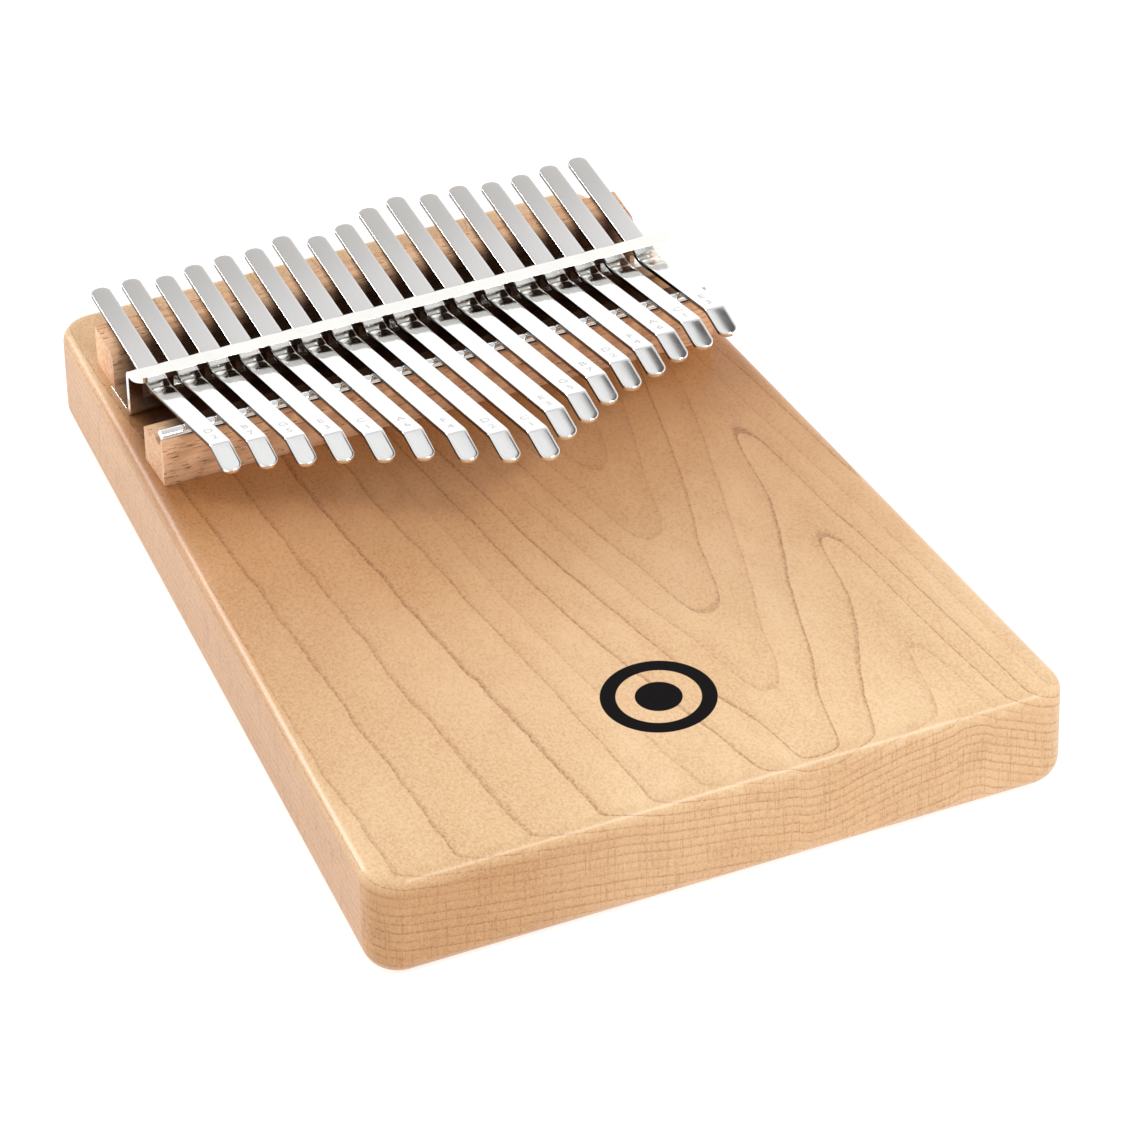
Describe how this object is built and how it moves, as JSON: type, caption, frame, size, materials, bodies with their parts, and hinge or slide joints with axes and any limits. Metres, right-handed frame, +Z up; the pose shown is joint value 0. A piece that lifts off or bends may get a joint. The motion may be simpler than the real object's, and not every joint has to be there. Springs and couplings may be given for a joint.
{
  "type": "thumb piano",
  "caption": "Solid-board thumb piano: flat spring-steel tines clamped between wooden bridges, each tongue bending at a round saddle.",
  "frame": {"origin": "middle of the board's flat underside", "axes": "+X across the row of tines, the shorter treble tine to the right; +Y away from the player; +Z up"},
  "size_m": [0.1342, 0.1876, 0.0441],
  "materials": {
    "maple": "satin lacquered pale maple with reddish-brown growth lines",
    "bridge_wood": "oiled reddish-brown beech",
    "tine_steel": "polished spring steel, satin on the tails",
    "bracket_nickel": "bright nickel plate",
    "rod_steel": "polished round bar",
    "screw_steel": "plated pan-head screws"
  },
  "bodies": {
    "frame": {"board": "maple", "back_bridge": "bridge_wood", "front_bridge": "bridge_wood", "saddle_rod": "rod_steel", "clamp_bracket": "bracket_nickel", "clamp_screws": "screw_steel", "tine_01_root": "tine_steel", "tine_02_root": "tine_steel", "tine_03_root": "tine_steel", "tine_04_root": "tine_steel", "tine_05_root": "tine_steel", "tine_06_root": "tine_steel", "tine_07_root": "tine_steel", "tine_08_root": "tine_steel", "tine_09_root": "tine_steel", "tine_10_root": "tine_steel", "tine_11_root": "tine_steel", "tine_12_root": "tine_steel", "tine_13_root": "tine_steel", "tine_14_root": "tine_steel", "tine_15_root": "tine_steel", "tine_16_root": "tine_steel", "tine_17_root": "tine_steel"},
    "tongue_01": {"tine_01_tongue": "tine_steel"},
    "tongue_02": {"tine_02_tongue": "tine_steel"},
    "tongue_03": {"tine_03_tongue": "tine_steel"},
    "tongue_04": {"tine_04_tongue": "tine_steel"},
    "tongue_05": {"tine_05_tongue": "tine_steel"},
    "tongue_06": {"tine_06_tongue": "tine_steel"},
    "tongue_07": {"tine_07_tongue": "tine_steel"},
    "tongue_08": {"tine_08_tongue": "tine_steel"},
    "tongue_09": {"tine_09_tongue": "tine_steel"},
    "tongue_10": {"tine_10_tongue": "tine_steel"},
    "tongue_11": {"tine_11_tongue": "tine_steel"},
    "tongue_12": {"tine_12_tongue": "tine_steel"},
    "tongue_13": {"tine_13_tongue": "tine_steel"},
    "tongue_14": {"tine_14_tongue": "tine_steel"},
    "tongue_15": {"tine_15_tongue": "tine_steel"},
    "tongue_16": {"tine_16_tongue": "tine_steel"},
    "tongue_17": {"tine_17_tongue": "tine_steel"}
  },
  "joints": [
    {"name": "flex_01", "type": "hinge", "parent": "frame", "child": "tongue_01", "pos_m": [-0.04924, 0.03482, 0.03349], "axis": [1, 0, 0], "range_deg": [-3, 3], "stiffness_Nm_per_rad": 9.48},
    {"name": "flex_02", "type": "hinge", "parent": "frame", "child": "tongue_02", "pos_m": [-0.04296, 0.03482, 0.03349], "axis": [1, 0, 0], "range_deg": [-3, 3], "stiffness_Nm_per_rad": 8.54},
    {"name": "flex_03", "type": "hinge", "parent": "frame", "child": "tongue_03", "pos_m": [-0.03668, 0.03482, 0.03349], "axis": [1, 0, 0], "range_deg": [-3, 3], "stiffness_Nm_per_rad": 7.43},
    {"name": "flex_04", "type": "hinge", "parent": "frame", "child": "tongue_04", "pos_m": [-0.0304, 0.03482, 0.03349], "axis": [1, 0, 0], "range_deg": [-3, 3], "stiffness_Nm_per_rad": 6.69},
    {"name": "flex_05", "type": "hinge", "parent": "frame", "child": "tongue_05", "pos_m": [-0.02412, 0.03482, 0.03349], "axis": [1, 0, 0], "range_deg": [-3, 3], "stiffness_Nm_per_rad": 5.82},
    {"name": "flex_06", "type": "hinge", "parent": "frame", "child": "tongue_06", "pos_m": [-0.01784, 0.03482, 0.03349], "axis": [1, 0, 0], "range_deg": [-3, 3], "stiffness_Nm_per_rad": 5.24},
    {"name": "flex_07", "type": "hinge", "parent": "frame", "child": "tongue_07", "pos_m": [-0.01156, 0.03482, 0.03349], "axis": [1, 0, 0], "range_deg": [-3, 3], "stiffness_Nm_per_rad": 4.56},
    {"name": "flex_08", "type": "hinge", "parent": "frame", "child": "tongue_08", "pos_m": [-0.00528, 0.03482, 0.03349], "axis": [1, 0, 0], "range_deg": [-3, 3], "stiffness_Nm_per_rad": 4.11},
    {"name": "flex_09", "type": "hinge", "parent": "frame", "child": "tongue_09", "pos_m": [0.001, 0.03482, 0.03349], "axis": [1, 0, 0], "range_deg": [-3, 3], "stiffness_Nm_per_rad": 3.83},
    {"name": "flex_10", "type": "hinge", "parent": "frame", "child": "tongue_10", "pos_m": [0.00728, 0.03482, 0.03349], "axis": [1, 0, 0], "range_deg": [-3, 3], "stiffness_Nm_per_rad": 4.4},
    {"name": "flex_11", "type": "hinge", "parent": "frame", "child": "tongue_11", "pos_m": [0.01356, 0.03482, 0.03349], "axis": [1, 0, 0], "range_deg": [-3, 3], "stiffness_Nm_per_rad": 4.89},
    {"name": "flex_12", "type": "hinge", "parent": "frame", "child": "tongue_12", "pos_m": [0.01984, 0.03482, 0.03349], "axis": [1, 0, 0], "range_deg": [-3, 3], "stiffness_Nm_per_rad": 5.62},
    {"name": "flex_13", "type": "hinge", "parent": "frame", "child": "tongue_13", "pos_m": [0.02612, 0.03482, 0.03349], "axis": [1, 0, 0], "range_deg": [-3, 3], "stiffness_Nm_per_rad": 6.24},
    {"name": "flex_14", "type": "hinge", "parent": "frame", "child": "tongue_14", "pos_m": [0.0324, 0.03482, 0.03349], "axis": [1, 0, 0], "range_deg": [-3, 3], "stiffness_Nm_per_rad": 6.93},
    {"name": "flex_15", "type": "hinge", "parent": "frame", "child": "tongue_15", "pos_m": [0.03868, 0.03482, 0.03349], "axis": [1, 0, 0], "range_deg": [-3, 3], "stiffness_Nm_per_rad": 7.96},
    {"name": "flex_16", "type": "hinge", "parent": "frame", "child": "tongue_16", "pos_m": [0.04496, 0.03482, 0.03349], "axis": [1, 0, 0], "range_deg": [-3, 3], "stiffness_Nm_per_rad": 8.84},
    {"name": "flex_17", "type": "hinge", "parent": "frame", "child": "tongue_17", "pos_m": [0.05124, 0.03482, 0.03349], "axis": [1, 0, 0], "range_deg": [-3, 3], "stiffness_Nm_per_rad": 10.16}
  ]
}
